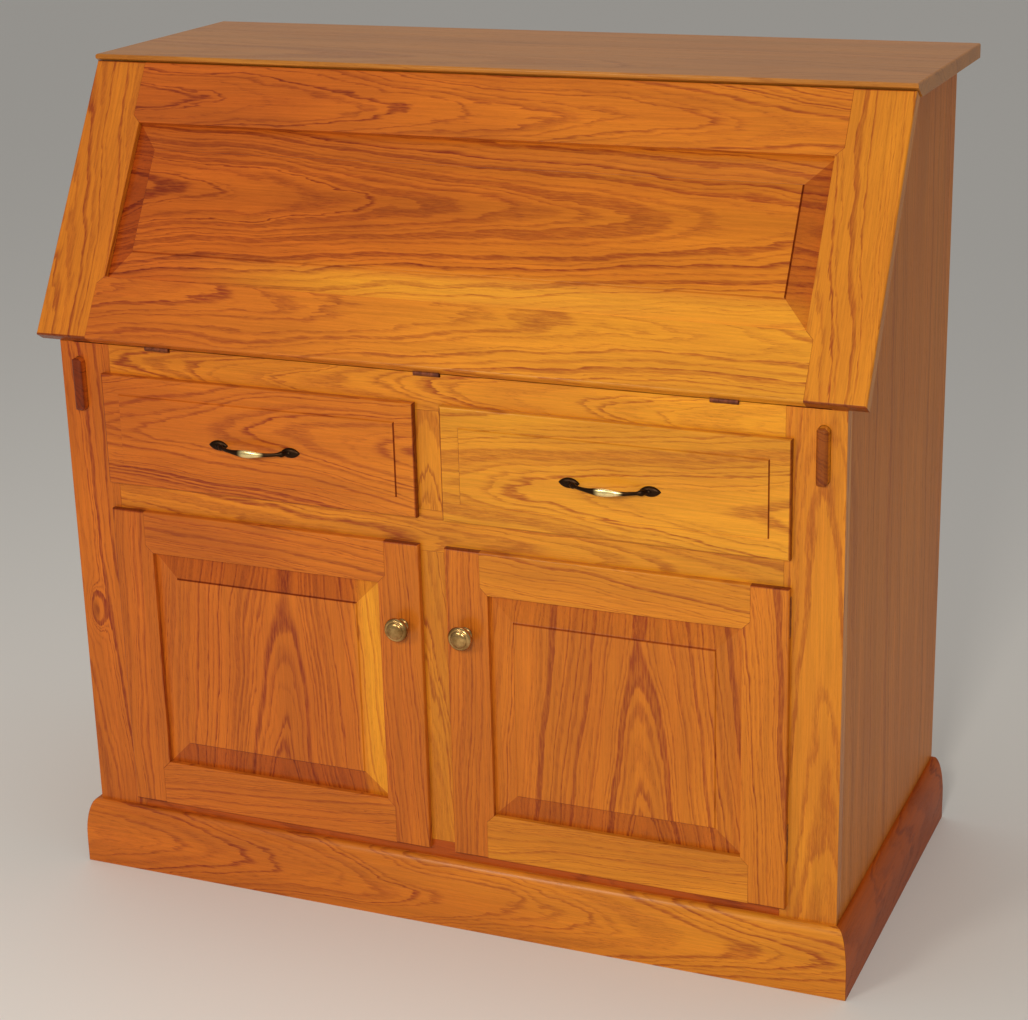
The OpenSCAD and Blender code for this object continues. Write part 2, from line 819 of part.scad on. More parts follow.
module door_hinge_door_side() {
    h = door_hinge_l / 3 - run_gap;
    for (z = door_hinge_z) translate([0, 0, z]) difference() {
        union() {
            intersection() {
                door_leaf_plate();
                union() {
                    box([0, -run_gap - door_leaf_t - EPS, 0],
                        [door_axis_x - door_knuckle_r - 1, 30, door_hinge_l]);
                    at_third(1) box([0, -30, 0], [half_w, 30, h]);
                }
            }
            at_third(1) translate([door_axis_x, door_axis_y, 0])
                cylinder(r = door_knuckle_r, h = h);
        }
        translate([door_axis_x, door_axis_y, -1])
            cylinder(r = door_pin_r + pin_clear, h = door_hinge_l + 2);
    }
}

// The steel strike plate on the back of a door, and the magnetic catch that holds it.
module door_strike() {
    box([open_x0 + 3, front_inset - 1, catch_z], [open_x0 + 15, front_inset, catch_z + 20]);
}

module door_catch() {
    box([board_t / 2, frame_t, catch_z], [open_x0 + 15, frame_t + 22, catch_z + 20]);
    box([open_x0 + 3, front_inset + 0.5, catch_z + 2],
        [open_x0 + 15, frame_t + EPS, catch_z + 18]);
}

module door_hinge_frame_leaves() {
    color(BRONZE) for (side = [-1, 1]) placed(side) door_hinge_frame_side();
}

module door_catches() color(STEEL) for (side = [-1, 1]) placed(side) door_catch();

module door_left_stiles() color(OAK) placed(-1) door_stiles();
module door_left_rails() color(OAK) placed(-1) door_rails();
module door_left_panel() color(OAK) placed(-1) door_panel();
module door_left_knob() color(BRASS) placed(-1) door_knob();
module door_left_hinge_leaves() color(BRONZE) placed(-1) door_hinge_door_side();
module door_left_strike() color(STEEL) placed(-1) door_strike();
module door_right_stiles() color(OAK) placed() door_stiles();
module door_right_rails() color(OAK) placed() door_rails();
module door_right_panel() color(OAK) placed() door_panel();
module door_right_knob() color(BRASS) placed() door_knob();
module door_right_hinge_leaves() color(BRONZE) placed() door_hinge_door_side();
module door_right_strike() color(STEEL) placed() door_strike();

// ---- Drawers ----------------------------------------------------------------------------

// A lipped slab with a raised field, bored for the pull's two screws.
module drawer_front() {
    edge = concat(lip_edge(), [
        [drawer_border, lip_proud + 0.2], [drawer_border + 1.2, lip_proud + drawer_field]
    ]);
    difference() {
        upright(leaf_x, drawer_z) profiled_slab(leaf_w, drawer_h, edge, edge);
        for (side = [-1, 1])
            translate([pull_x + side * pull_span / 2, front_inset + 1, pull_z])
                rotate([90, 0, 0]) cylinder(r = 2.1, h = 40);
    }
}

// Both sides, grooved for the bottom.
module drawer_sides() {
    difference() {
        for (x = [drawer_x0, drawer_x1 - drawer_wall])
            translate([x, front_inset, drawer_z0])
                cube([drawer_wall, drawer_len, drawer_z1 - drawer_z0]);
        drawer_bottom();
    }
}

module drawer_back() {
    box([drawer_x0 + drawer_wall, front_inset + drawer_len - drawer_wall, bottom_z + drawer_bottom_t],
        [drawer_x1 - drawer_wall, front_inset + drawer_len, drawer_z1]);
}

module drawer_bottom() {
    in = drawer_wall / 2;
    box([drawer_x0 + in, front_inset, bottom_z],
        [drawer_x1 - in, front_inset + drawer_len - 1, bottom_z + drawer_bottom_t]);
}

// A pull with a bowed bar on two leaf-shaped feet.
module drawer_pull() {
    sagitta = pull_reach - 4.5;
    bow_r = (pow(pull_span / 2, 2) + pow(sagitta, 2)) / (2 * sagitta);
    half_angle = asin(pull_span / 2 / bow_r);
    translate([pull_x, front_y + 2.5 + bow_r, pull_z])
        rotate([0, 0, 270 - half_angle]) rotate_extrude(angle = 2 * half_angle)
            polygon([for (i = [0 : 15]) [bow_r + 2.5 * cos(i * 24), 4.5 * sin(i * 24)]]);
    for (side = [-1, 1]) translate([pull_x + side * pull_span / 2, field_y, pull_z]) {
        rotate([90, 0, 0]) linear_extrude(2.5) intersection() {
            translate([0, 9.3]) circle(16.8);
            translate([0, -9.3]) circle(16.8);
        }
        rotate([90, 0, 0]) cylinder(r1 = 6.5, r2 = 4, h = 5);
    }
    for (side = [-1, 1])
        through_screw(pull_x + side * pull_span / 2, pull_z, field_y - 1, front_inset);
}

module drawer_left_front() color(OAK) placed(-1) drawer_front();
module drawer_left_sides() color(OAK_PALE) placed(-1) drawer_sides();
module drawer_left_back() color(OAK_PALE) placed(-1) drawer_back();
module drawer_left_bottom() color(OAK_PALE) placed(-1) drawer_bottom();
module drawer_left_pull() color(BRONZE) placed(-1) drawer_pull();
module drawer_right_front() color(OAK) placed() drawer_front();
module drawer_right_sides() color(OAK_PALE) placed() drawer_sides();
module drawer_right_back() color(OAK_PALE) placed() drawer_back();
module drawer_right_bottom() color(OAK_PALE) placed() drawer_bottom();
module drawer_right_pull() color(BRONZE) placed() drawer_pull();

// ---- Gallery drawer ---------------------------------------------------------------------

// A small open box that fills the middle of the lower row.
module gallery_drawer() {
    w = gallery_bay - gallery_wall / 2 - gallery_gap;
    z0 = desk_h + gallery_gap / 2;
    z1 = gallery_mid_z - gallery_gap;
    y0 = gallery_y + 1;
    y1 = back_y - 4;
    color(OAK) placed() difference() {
        box([-w, y0, z0], [w, y1, z1]);
        box([-w + gallery_wall, y0 + 12, z0 + 6], [w - gallery_wall, y1 - gallery_wall, z1 + 1]);
        translate([0, y0 + 13, desk_h + gallery_low_h / 2]) rotate([90, 0, 0])
            cylinder(r = 1.6, h = 20);
    }
}

module gallery_drawer_knob() {
    z = desk_h + gallery_low_h / 2;
    y0 = gallery_y + 1;
    color(BRASS) placed() {
        translate([0, y0, z]) rotate([90, 0, 0]) rotate_extrude() polygon(concat(
            [[0, 0], [4.5, 0], [3, 2], [3, 6]],
            quarter(0, 11, 7.5, 5, -35, 90, 10)
        ));
        translate([0, y0 + 12, z]) rotate([90, 0, 0]) cylinder(r = 1.5, h = 13);
        translate([0, y0 + 14, z]) rotate([90, 0, 0]) cylinder(r = 3.5, h = 2);
    }
}

side_left();
side_right();
top_board();
back_panel();
writing_bed();
dust_panel();
cabinet_floor();
cupboard_divider();
cupboard_shelves();
shelf_pins();
stile_left();
stile_right();
rail_top();
rail_middle();
rail_bottom();
mullion_upper();
mullion_lower();
plinth_front();
plinth_left();
plinth_right();
drawer_runners();
loper_guide_left();
loper_guide_right();
gallery_shelves();
gallery_dividers();
lid_hinge_case_leaves();
door_hinge_frame_leaves();
door_catches();
loper_left();
loper_right();
lid_stile_left();
lid_stile_right();
lid_rail_top();
lid_rail_bottom();
lid_panel();
lid_hinge_leaves();
drawer_left_front();
drawer_left_sides();
drawer_left_back();
drawer_left_bottom();
drawer_left_pull();
drawer_right_front();
drawer_right_sides();
drawer_right_back();
drawer_right_bottom();
drawer_right_pull();
door_left_stiles();
door_left_rails();
door_left_panel();
door_left_knob();
door_left_hinge_leaves();
door_left_strike();
door_right_stiles();
door_right_rails();
door_right_panel();
door_right_knob();
door_right_hinge_leaves();
door_right_strike();
gallery_drawer();
gallery_drawer_knob();
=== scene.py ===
"""Slant-front secretary desk in lacquered oak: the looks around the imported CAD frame."""

import math

import bpy
from mathutils import Matrix, Vector


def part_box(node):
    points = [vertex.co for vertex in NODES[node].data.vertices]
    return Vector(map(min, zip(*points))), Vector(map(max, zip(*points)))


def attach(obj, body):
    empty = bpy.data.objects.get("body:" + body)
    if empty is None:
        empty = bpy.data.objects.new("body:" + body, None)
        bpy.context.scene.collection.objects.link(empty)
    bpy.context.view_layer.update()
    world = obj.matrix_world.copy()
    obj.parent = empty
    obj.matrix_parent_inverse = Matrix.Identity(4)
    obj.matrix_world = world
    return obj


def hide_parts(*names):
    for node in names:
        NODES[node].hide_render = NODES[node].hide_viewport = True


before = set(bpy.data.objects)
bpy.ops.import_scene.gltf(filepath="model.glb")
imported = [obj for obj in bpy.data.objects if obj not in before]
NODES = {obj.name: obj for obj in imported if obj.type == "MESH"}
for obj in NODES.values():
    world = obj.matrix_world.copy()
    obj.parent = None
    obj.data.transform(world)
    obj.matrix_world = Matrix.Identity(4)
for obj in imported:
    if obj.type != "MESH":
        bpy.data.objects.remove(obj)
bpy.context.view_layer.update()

MM = 0.001
LID_LEAN = math.radians(31.5)


# ---- Node helpers ----------------------------------------------------------------------

# a place out of every board's reach, for a board that has no knot
NO_KNOT = 9.0

# the Mix node's colour sockets, which share their names with its other kinds
MIX_A, MIX_B, MIX_RESULT = 6, 7, 2


def link(tree, source, target):
    """Joins an output socket to an input socket."""
    tree.links.new(source, target)


def put(tree, socket, value):
    """Feeds a socket with a number, a colour or another node's output."""
    if isinstance(value, bpy.types.NodeSocket):
        link(tree, value, socket)
    else:
        socket.default_value = value


def math_node(tree, operation, a, b=0.0, c=0.0):
    """One sum on up to three numbers."""
    n = tree.nodes.new("ShaderNodeMath")
    n.operation = operation
    for socket, value in zip(n.inputs, (a, b, c)):
        put(tree, socket, value)
    return n.outputs[0]


def vector_node(tree, operation, a, b):
    """One sum on two vectors; a single number counts for all three parts."""
    n = tree.nodes.new("ShaderNodeVectorMath")
    n.operation = operation
    put(tree, n.inputs[0], a)
    put(tree, n.inputs[1], b)
    return n.outputs[0]


def noise(tree, vector, scale, detail=2.0, roughness=0.5):
    """Soft cloudy noise."""
    n = tree.nodes.new("ShaderNodeTexNoise")
    put(tree, n.inputs["Vector"], vector)
    n.inputs["Scale"].default_value = scale
    n.inputs["Detail"].default_value = detail
    n.inputs["Roughness"].default_value = roughness
    return n.outputs["Fac"]


def smooth_range(tree, value, low, high, to_low=0.0, to_high=1.0):
    """Eases from one number to another while a value goes from low to high."""
    n = tree.nodes.new("ShaderNodeMapRange")
    n.interpolation_type = "SMOOTHSTEP"
    for name, v in (("Value", value), ("From Min", low), ("From Max", high),
                    ("To Min", to_low), ("To Max", to_high)):
        put(tree, n.inputs[name], v)
    return n.outputs["Result"]


def mix_colour(tree, factor, a, b):
    """Blends from colour a to colour b."""
    n = tree.nodes.new("ShaderNodeMix")
    n.data_type = "RGBA"
    put(tree, n.inputs["Factor"], factor)
    put(tree, n.inputs[MIX_A], a)
    put(tree, n.inputs[MIX_B], b)
    return n.outputs[MIX_RESULT]


def srgb(r, g, b):
    """A linear colour from 0-255 display values."""
    return tuple(((v / 255 + 0.055) / 1.055) ** 2.4 if v > 10 else v / 255 / 12.92
                 for v in (r, g, b)) + (1.0,)


# ---- Oak -------------------------------------------------------------------------------


def oak_group():
    """Solid oak, cut from a tree whose rings taper: X runs along the grain, in metres."""
    g = bpy.data.node_groups.new("oak", "ShaderNodeTree")
    for name, kind, default in (
        ("Vector", "NodeSocketVector", None),
        ("End", "NodeSocketFloat", 0.0),
        ("Seed", "NodeSocketFloat", 0.0),
        ("Pith Y", "NodeSocketFloat", 0.0),
        ("Pith Z", "NodeSocketFloat", -0.06),
        ("Taper", "NodeSocketFloat", 0.06),
        ("Ring", "NodeSocketFloat", 0.006),
        ("Knot X", "NodeSocketFloat", NO_KNOT),
        ("Knot Y", "NodeSocketFloat", NO_KNOT),
        ("Light", "NodeSocketColor", (0.6, 0.3, 0.08, 1)),
        ("Dark", "NodeSocketColor", (0.3, 0.1, 0.02, 1)),
    ):
        s = g.interface.new_socket(name, in_out="INPUT", socket_type=kind)
        if default is not None:
            s.default_value = default
    g.interface.new_socket("Color", in_out="OUTPUT", socket_type="NodeSocketColor")
    g.interface.new_socket("Roughness", in_out="OUTPUT", socket_type="NodeSocketFloat")
    g.interface.new_socket("Height", in_out="OUTPUT", socket_type="NodeSocketFloat")
    inp = g.nodes.new("NodeGroupInput")
    out = g.nodes.new("NodeGroupOutput")

    seed = math_node(g, "MULTIPLY", inp.outputs["Seed"], 7.31)
    moved = vector_node(g, "ADD", inp.outputs["Vector"], seed)
    sep = g.nodes.new("ShaderNodeSeparateXYZ")
    link(g, inp.outputs["Vector"], sep.inputs[0])
    x, y, z = sep.outputs

    def stretched(along, across, detail=2.0, roughness=0.5):
        return noise(g, vector_node(g, "MULTIPLY", moved, (along, across, across)), 1.0,
                     detail, roughness)

    # the trunk's slow bends, waves that follow the grain, and the ragged edge of each ring
    bend = math_node(g, "MULTIPLY_ADD", stretched(2.4, 5.0), 0.06, -0.03)
    wave = math_node(g, "MULTIPLY_ADD", stretched(7.0, 22.0), 0.012, -0.006)
    shake = math_node(g, "MULTIPLY_ADD", stretched(26.0, 130.0), 0.0045, wave)
    ragged = math_node(g, "MULTIPLY_ADD", stretched(48.0, 520.0), 0.0022, shake)
    off_y = math_node(g, "ADD", math_node(g, "SUBTRACT", y, inp.outputs["Pith Y"]), bend)
    off_z = math_node(g, "SUBTRACT", z, inp.outputs["Pith Z"])
    radius = math_node(g, "SQRT", math_node(
        g, "ADD", math_node(g, "MULTIPLY", off_y, off_y), math_node(g, "MULTIPLY", off_z, off_z)))
    cone = math_node(g, "MULTIPLY_ADD", x, inp.outputs["Taper"], radius)
    # a knot pushes the rings out around it, longer along the grain than across
    knot_long, knot_wide = 0.045, 0.017
    from_x = math_node(g, "SUBTRACT", x, inp.outputs["Knot X"])
    knot_x = math_node(g, "DIVIDE", from_x, knot_long)
    from_y = math_node(g, "SUBTRACT", y, inp.outputs["Knot Y"])
    knot_y = math_node(g, "DIVIDE", from_y, knot_wide)
    to_knot = math_node(g, "SQRT", math_node(
        g, "ADD", math_node(g, "MULTIPLY", knot_x, knot_x),
        math_node(g, "MULTIPLY", knot_y, knot_y)))
    pushed = math_node(g, "ADD", ragged, smooth_range(g, to_knot, 0.0, 1.3, 0.022, 0.0))
    grown = math_node(g, "ADD", cone, pushed)
    count = math_node(g, "DIVIDE", grown, inp.outputs["Ring"])
    uneven = g.nodes.new("ShaderNodeTexNoise")
    uneven.noise_dimensions = "1D"
    link(g, math_node(g, "ADD", count, inp.outputs["Seed"]), uneven.inputs["W"])
    uneven.inputs["Scale"].default_value = 0.4
    uneven.inputs["Detail"].default_value = 2.0
    rings = math_node(g, "MULTIPLY_ADD", uneven.outputs["Fac"], 3.0, count)
    phase = math_node(g, "FRACT", rings)
    which = g.nodes.new("ShaderNodeTexWhiteNoise")
    which.noise_dimensions = "1D"
    link(g, math_node(g, "FLOOR", rings), which.inputs["W"])

    # each ring opens with a dark porous band and fades into pale, dense latewood
    rise = smooth_range(g, phase, 0.0, 0.16)
    fall = smooth_range(g, phase, 0.2, 0.66, 1.0, 0.0)
    band = math_node(g, "MULTIPLY", rise, fall)
    strength = math_node(g, "MULTIPLY_ADD", math_node(
        g, "POWER", which.outputs["Value"], 1.7), 0.85, 0.2)

    # pores: short dark dashes along the grain, thickest in the porous band
    coarse = smooth_range(g, stretched(42.0, 480.0, 2.0, 0.6), 0.36, 0.6)
    fine = smooth_range(g, stretched(80.0, 1500.0, 2.0, 0.6), 0.52, 0.68)
    broken = math_node(g, "MULTIPLY_ADD", coarse, 0.5, 0.5)
    line = math_node(g, "MULTIPLY", math_node(g, "MULTIPLY", band, strength), broken)
    porous = math_node(g, "MULTIPLY_ADD", band, 0.7, 0.3)
    dashes = math_node(g, "MULTIPLY", fine, porous)

    fibre = stretched(10.0, 420.0, 4.0, 0.65)
    cloud = stretched(2.6, 10.0, 3.0, 0.6)
    sheen = stretched(1.4, 30.0, 2.0, 0.5)

    dark = inp.outputs["Dark"]
    light = inp.outputs["Light"]
    mid = mix_colour(g, 0.3, light, dark)
    base = mix_colour(g, smooth_range(g, cloud, 0.3, 0.7), light, mid)
    lined = mix_colour(g, line, base, dark)
    gain = math_node(g, "MULTIPLY", smooth_range(g, fibre, 0.25, 0.75, 0.88, 1.1),
                     smooth_range(g, sheen, 0.3, 0.7, 0.93, 1.07))
    gained = vector_node(g, "MULTIPLY", lined, gain)
    deep = vector_node(g, "MULTIPLY", dark, (0.6, 0.5, 0.5))
    pored = mix_colour(g, math_node(g, "MULTIPLY", dashes, 0.45), gained, deep)
    # end grain drinks more stain, so cuts across the board are darker and redder; the same
    # darkening also serves as painted shade on the panels' bevels and on narrow end faces
    stain_and_shade = vector_node(g, "MULTIPLY", pored, (0.74, 0.57, 0.52))
    bevel_stain_and_shade = mix_colour(g, smooth_range(g, inp.outputs["End"], 0.02, 0.12), pored, stain_and_shade)
    deep_stain_and_shade = vector_node(g, "MULTIPLY", bevel_stain_and_shade, (0.5, 0.36, 0.34))
    # real stain and painted shade: steep end faces, such as the drawer lips' ends, go darker still,
    # and the wood round a knot darkens too
    knot_stain_and_shade = math_node(g, "MAXIMUM", smooth_range(g, inp.outputs["End"], 0.2, 0.6),
                      smooth_range(g, to_knot, 0.1, 0.45, 0.7, 0.0))
    final = mix_colour(g, knot_stain_and_shade, bevel_stain_and_shade, deep_stain_and_shade)
    link(g, final, out.inputs["Color"])

    rough = math_node(g, "MULTIPLY_ADD", fibre, 0.12, 0.34)
    link(g, math_node(g, "MULTIPLY_ADD", dashes, 0.12, rough), out.inputs["Roughness"])
    grain_height = math_node(g, "MULTIPLY_ADD", line, -0.35, fibre)
    link(g, math_node(g, "MULTIPLY_ADD", dashes, -0.9, grain_height), out.inputs["Height"])
    return g


OAK = oak_group()


def board_axes(grain, normal):
    """A turn that takes texture X along the grain and texture Z out of the face."""
    gx = Vector(grain).normalized()
    nz = Vector(normal).normalized()
    gy = nz.cross(gx)
    return Matrix((gx, gy, nz)).transposed().to_euler()


def falloff_tone(t, left, right, across):
    """A board's colour, turning from its left-hand tone to its right-hand one across the desk:
    painted light falling off, darker and redder to the left and brighter to the right.
    """
    return left if left == right else mix_colour(t, across, left, right)


def sheen_band(t, across, along, edge):
    """How far a painted sheen pales a board: a golden band where the lacquer catches the light."""
    start, end, most, fade_from, fade_to = edge
    past = smooth_range(t, across, min(start, end), max(start, end),
                        *((0.0, most) if start < end else (most, 0.0)))
    return math_node(t, "MULTIPLY", past, smooth_range(t, along, fade_from, fade_to))


def oak(name, grain, normal, centre, tone, seed, pith, taper, ring, coat):
    """Lacquered oak for one board, in the board's own grain direction."""
    m = bpy.data.materials.new("oak_" + name)
    m.use_nodes = True
    t = m.node_tree
    bsdf = t.nodes["Principled BSDF"]
    where = t.nodes.new("ShaderNodeTexCoord")
    turn = t.nodes.new("ShaderNodeMapping")
    turn.vector_type = "TEXTURE"
    turn.inputs["Location"].default_value = centre
    turn.inputs["Rotation"].default_value = board_axes(grain, normal)
    link(t, where.outputs["Object"], turn.inputs["Vector"])
    wood = t.nodes.new("ShaderNodeGroup")
    wood.node_tree = OAK
    link(t, turn.outputs[0], wood.inputs["Vector"])
    for key, value in (("Seed", seed), ("Pith Y", pith[0]), ("Pith Z", pith[1]),
                       ("Taper", taper), ("Ring", ring)):
        wood.inputs[key].default_value = value
    if name in KNOTS:
        wood.inputs["Knot X"].default_value, wood.inputs["Knot Y"].default_value = KNOTS[name]
    facing_grain = t.nodes.new("ShaderNodeVectorMath")
    facing_grain.operation = "DOT_PRODUCT"
    link(t, where.outputs["Normal"], facing_grain.inputs[0])
    facing_grain.inputs[1].default_value = Vector(grain).normalized()
    # painted shade: faces that turn against the grain's direction, such as bevels facing down, get
    # the end darkening more strongly than faces that turn with it
    cut = facing_grain.outputs["Value"]
    tilt_shaded_end = math_node(t, "MULTIPLY_ADD", cut, -0.3, math_node(t, "ABSOLUTE", cut))
    link(t, math_node(t, "MULTIPLY", tilt_shaded_end, END_DARKENING.get(name, 1.0)), wood.inputs["End"])
    split = t.nodes.new("ShaderNodeSeparateXYZ")
    link(t, where.outputs["Object"], split.inputs[0])
    # painted light: the board's tone turns brighter across the desk towards the right
    across = smooth_range(t, split.outputs[0], *LIGHT_FALLOFF_SPAN)
    light, dark = (falloff_tone(t, left, right, across) for left, right in zip(*tone))
    # painted sheen: a golden band where the lacquer catches the light
    if name in SHEEN_BANDS:
        local = t.nodes.new("ShaderNodeSeparateXYZ")
        link(t, turn.outputs[0], local.inputs[0])
        painted_sheen = sheen_band(t, local.outputs[1], split.outputs[0], SHEEN_BANDS[name])
        light, dark = (mix_colour(t, painted_sheen, c, shine) for c, shine in zip((light, dark), SHEEN_GOLD))
    put(t, wood.inputs["Light"], light)
    put(t, wood.inputs["Dark"], dark)
    link(t, wood.outputs["Color"], bsdf.inputs["Base Color"])
    link(t, wood.outputs["Roughness"], bsdf.inputs["Roughness"])
    bump = t.nodes.new("ShaderNodeBump")
    bump.inputs["Strength"].default_value = 0.2
    bump.inputs["Distance"].default_value = 0.0005
    link(t, wood.outputs["Height"], bump.inputs["Height"])
    link(t, bump.outputs[0], bsdf.inputs["Normal"])
    bsdf.inputs["Coat Weight"].default_value = coat
    bsdf.inputs["Coat Roughness"].default_value = 0.22
    bsdf.inputs["Coat Tint"].default_value = (1.0, 0.86, 0.6, 1.0)
    bsdf.inputs["Specular IOR Level"].default_value = 0.1 + coat * 0.5
    bsdf.inputs["Specular Tint"].default_value = (1.0, 0.8, 0.5, 1.0)
    bsdf.inputs["IOR"].default_value = 1.5
    return m


# the desk's x from which and to which its tones turn: painted light, brighter towards the right
LIGHT_FALLOFF_SPAN = (-0.45, 0.5)

# a light and a dark colour each
EMBER = (srgb(194, 98, 28), srgb(120, 36, 16))
AMBER = (srgb(204, 110, 30), srgb(136, 46, 20))
HONEY = (srgb(212, 126, 32), srgb(146, 58, 20))
STRAW = (srgb(220, 140, 36), srgb(158, 72, 22))
GOLD = (srgb(230, 158, 42), srgb(168, 86, 26))
# painted sheen and shade: the top board's duller, greyer brown stands in for its grazing sheen and
# the lesser light on it
BROWN = (srgb(188, 122, 46), srgb(164, 98, 32))
# painted light and sheen: the side panels' paler, greyer brown makes up for the light and grazing
# sheen on the desk's sides
CHESTNUT = (srgb(212, 128, 44), srgb(180, 94, 28))
# painted shade: a darker, redder tone for wood that lies in shadow
UMBER = (srgb(184, 84, 16), srgb(136, 54, 12))
BARE = (srgb(214, 170, 112), srgb(176, 122, 70))
# painted sheen: the golden colours a board takes where its lacquer catches the light
SHEEN_GOLD = (srgb(236, 164, 38), srgb(204, 120, 30))

# tones from the desk's left to its right; where a pair differs, the right-hand tone is the brighter
# one, as painted light falling off across the desk
MELLOW = (STRAW, STRAW)
DUSKY = (EMBER, HONEY)
# painted shade: the tone of the rail in the doors' shadow and of the plinth's right end
SHADED = (UMBER, UMBER)
WARM = (AMBER, HONEY)
SUNNY = (HONEY, GOLD)
GLOW = (AMBER, GOLD)
BRIGHT = (GOLD, GOLD)
BROWNED = (CHESTNUT, CHESTNUT)
TAN = (BROWN, BROWN)
RIPE = (AMBER, STRAW)
RAW = (BARE, BARE)

X, Y, Z = (1, 0, 0), (0, 1, 0), (0, 0, 1)
FRONT = (0, -1, 0)
UP_LID = (0, math.sin(LID_LEAN), math.cos(LID_LEAN))
OUT_LID = (0, -math.cos(LID_LEAN), math.sin(LID_LEAN))

# how each board is cut: grain, face, tones, pith behind the face (across, deep), taper, ring
BOARDS = {
    "side_left": (Z, (-1, 0, 0), BROWNED, (0.30, -0.20), 0.03, 0.008),
    "side_right": (Z, X, BROWNED, (0.30, -0.20), 0.03, 0.008),
    "top_board": (X, Z, TAN, (-0.1, -0.09), 0.05, 0.008),
    "back_panel": (Z, Y, RAW, (0.1, -0.12), 0.05, 0.011),
    "writing_bed": (X, Z, WARM, (0.05, -0.1), 0.08, 0.006),
    "dust_panel": (X, Z, RAW, (0.0, -0.1), 0.05, 0.009),
    "cabinet_floor": (X, Z, RAW, (0.05, -0.1), 0.05, 0.009),
    "cupboard_divider": (Z, X, RAW, (0.05, -0.1), 0.05, 0.009),
    "cupboard_shelves": (X, Z, RAW, (0.0, -0.1), 0.05, 0.009),
    "stile_left": (Z, FRONT, WARM, (0.05, -0.04), 0.04, 0.006),
    "stile_right": (Z, FRONT, RIPE, (-0.01, -0.04), 0.05, 0.007),
    "rail_top": (X, FRONT, SUNNY, (0.004, -0.012), -0.10, 0.005),
    "rail_middle": (X, FRONT, SUNNY, (-0.02, -0.02), 0.06, 0.006),
    "rail_bottom": (X, FRONT, SHADED, (0.0, -0.05), 0.05, 0.006),
    "mullion_upper": (Z, FRONT, SUNNY, (0.01, -0.015), 0.12, 0.006),
    "mullion_lower": (Z, FRONT, SUNNY, (0.03, -0.04), 0.05, 0.005),
    "plinth_front": (X, FRONT, RIPE, (0.0, -0.02), 0.10, 0.006),
    "plinth_left": (Y, (-1, 0, 0), WARM, (0.0, -0.05), 0.08, 0.006),
    "plinth_right": (Y, X, SHADED, (0.0, -0.05), 0.08, 0.006),
    "drawer_runners": (Y, Z, RAW, (0.1, -0.1), 0.03, 0.006),
    "loper_guide_left": (Y, X, RAW, (0.05, -0.1), 0.03, 0.006),
    "loper_guide_right": (Y, X, RAW, (0.05, -0.1), 0.03, 0.006),
    "gallery_shelves": (X, Z, WARM, (0.05, -0.08), 0.05, 0.006),
    "gallery_dividers": (Z, X, WARM, (0.05, -0.08), 0.05, 0.006),
    "loper_left": (Y, FRONT, DUSKY, (0.03, -0.05), 0.03, 0.006),
    "loper_right": (Y, FRONT, BRIGHT, (0.03, -0.05), 0.03, 0.006),
    "lid_stile_left": (UP_LID, OUT_LID, SUNNY, (0.05, -0.06), 0.05, 0.006),
    "lid_stile_right": (UP_LID, OUT_LID, MELLOW, (0.05, -0.05), 0.03, 0.005),
    "lid_rail_top": (X, OUT_LID, DUSKY, (-0.006, -0.016), 0.06, 0.0052),
    "lid_rail_bottom": (X, OUT_LID, GLOW, (0.03, -0.03), 0.05, 0.006),
    "lid_panel": (X, OUT_LID, DUSKY, (0.012, -0.022), 0.07, 0.0062),
    "drawer_left_front": (X, FRONT, RIPE, (0.012, -0.018), -0.10, 0.007),
    "drawer_right_front": (X, FRONT, BRIGHT, (-0.022, -0.018), -0.09, 0.009),
    "door_left_stiles": (Z, FRONT, WARM, (0.04, -0.06), 0.05, 0.0055),
    "door_left_rails": (X, FRONT, WARM, (0.0, -0.02), 0.10, 0.006),
    "door_left_panel": (Z, FRONT, WARM, (-0.02, -0.014), 0.13, 0.0075),
    "door_right_stiles": (Z, FRONT, WARM, (0.04, -0.05), 0.05, 0.0055),
    "door_right_rails": (X, FRONT, MELLOW, (-0.02, -0.02), 0.08, 0.006),
    "door_right_panel": (Z, FRONT, WARM, (-0.035, -0.014), 0.13, 0.0075),
    "gallery_drawer": (X, FRONT, WARM, (0.01, -0.05), 0.08, 0.006),
}
for s in ("left", "right"):
    for part, normal in (("sides", X), ("back", Y), ("bottom", Z)):
        grain = X if part == "back" else Y
        BOARDS[f"drawer_{s}_{part}"] = (grain, normal, RAW, (0.1, -0.1), 0.04, 0.007)


# where a painted sheen pales a board: from and to, across it, in metres from its middle; how much
# of it at most; and the desk's x from which and to which it sets in
SHEEN_BANDS = {
    "door_left_panel": (-0.120, -0.144, 0.75, -1.0, -0.9),
    "lid_panel": (-0.058, -0.086, 0.75, -0.4, -0.05),
    "rail_top": (-1.0, -0.9, 0.5, 0.1, 0.4),
}
# a knot's middle, in metres along and across its board from the board's middle
KNOTS = {"stile_left": (0.0, 0.018)}
# how strongly the wood cut across its grain is darkened, where that isn't in full: partly stain
# taken up, partly painted shade
END_DARKENING = {"top_board": 0.0, "door_right_panel": 0.6}
# how much lacquer shows on a board; the rest have the fronts' gloss, or hardly any where unfinished
FRONT_GLOSS = 0.3
BARE_GLOSS = 0.05
GLOSS = {"side_left": 0.03, "side_right": 0.03, "top_board": 0.3, "lid_panel": 0.2,
         "plinth_left": 0.05, "plinth_right": 0.0}


def dress_board(name, seed):
    """Gives a board its own oak."""
    grain, normal, tone, pith, taper, ring = BOARDS[name]
    low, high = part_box(name)
    coat = BARE_GLOSS if tone == RAW else GLOSS.get(name, FRONT_GLOSS)
    m = oak(name, grain, normal, (low + high) / 2, tone, seed, pith, taper, ring, coat)
    o = NODES[name]
    o.data.materials.clear()
    o.data.materials.append(m)


